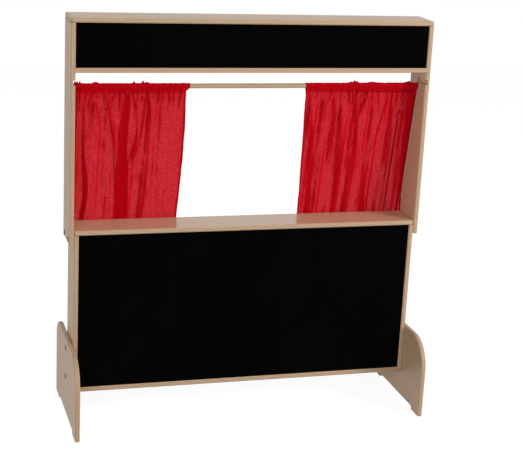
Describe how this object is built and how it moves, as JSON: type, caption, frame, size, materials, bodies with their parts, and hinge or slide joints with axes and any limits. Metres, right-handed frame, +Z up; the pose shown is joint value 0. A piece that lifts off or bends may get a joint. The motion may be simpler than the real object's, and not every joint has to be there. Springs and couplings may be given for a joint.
{
  "type": "puppet theater stand",
  "caption": "Free-standing puppet theater with a header board, an open stage with sliding gathered curtains on a lift-out rod, a stage shelf, a front board and broad side feet.",
  "frame": {"origin": "on the floor, midway between the two feet and between their front and rear ends", "axes": "+Z up, the stand faces -Y, +X to the right as the audience sees it"},
  "size_m": [1.224, 0.45, 1.36],
  "materials": {
    "birch_plywood": "birch plywood under clear satin lacquer",
    "dowel_wood": "sanded hardwood dowel",
    "black_board": "hardboard with a matt near-black writing face",
    "red_cotton": "thin plain-weave red cotton",
    "dark_steel": "bronzed steel"
  },
  "bodies": {
    "frame": {"top_panel": "birch_plywood", "header_panel": "birch_plywood", "stage_shelf": "birch_plywood", "bottom_panel": "birch_plywood", "header_board": "black_board", "front_board": "black_board", "upper_side_left": "birch_plywood", "lower_side_left": "birch_plywood", "foot_left": "birch_plywood", "connector_bolt_upper_front_left": "dark_steel", "cap_nut_upper_front_left": "dark_steel", "connector_bolt_upper_rear_left": "dark_steel", "cap_nut_upper_rear_left": "dark_steel", "connector_bolt_foot_low_left": "dark_steel", "cap_nut_foot_low_left": "dark_steel", "connector_bolt_foot_high_left": "dark_steel", "cap_nut_foot_high_left": "dark_steel", "top_dowel_front_left": "dowel_wood", "top_dowel_rear_left": "dowel_wood", "shelf_dowel_front_left": "dowel_wood", "shelf_dowel_rear_left": "dowel_wood", "upper_side_right": "birch_plywood", "lower_side_right": "birch_plywood", "foot_right": "birch_plywood", "connector_bolt_upper_front_right": "dark_steel", "cap_nut_upper_front_right": "dark_steel", "connector_bolt_upper_rear_right": "dark_steel", "cap_nut_upper_rear_right": "dark_steel", "connector_bolt_foot_low_right": "dark_steel", "cap_nut_foot_low_right": "dark_steel", "connector_bolt_foot_high_right": "dark_steel", "cap_nut_foot_high_right": "dark_steel", "top_dowel_front_right": "dowel_wood", "top_dowel_rear_right": "dowel_wood", "shelf_dowel_front_right": "dowel_wood", "shelf_dowel_rear_right": "dowel_wood"},
    "rod": {"curtain_rod": "dowel_wood"},
    "left_curtain": {"curtain_left": "red_cotton"},
    "right_curtain": {"curtain_right": "red_cotton"}
  },
  "joints": [
    {"name": "rod_lift", "type": "slide", "parent": "frame", "child": "rod", "axis": [0, 0, 1], "range_m": [0, 0.022]},
    {"name": "left_curtain_slide", "type": "slide", "parent": "rod", "child": "left_curtain", "axis": [1, 0, 0], "range_m": [0, 0.2]},
    {"name": "right_curtain_slide", "type": "slide", "parent": "rod", "child": "right_curtain", "axis": [-1, 0, 0], "range_m": [0, 0.175]}
  ]
}
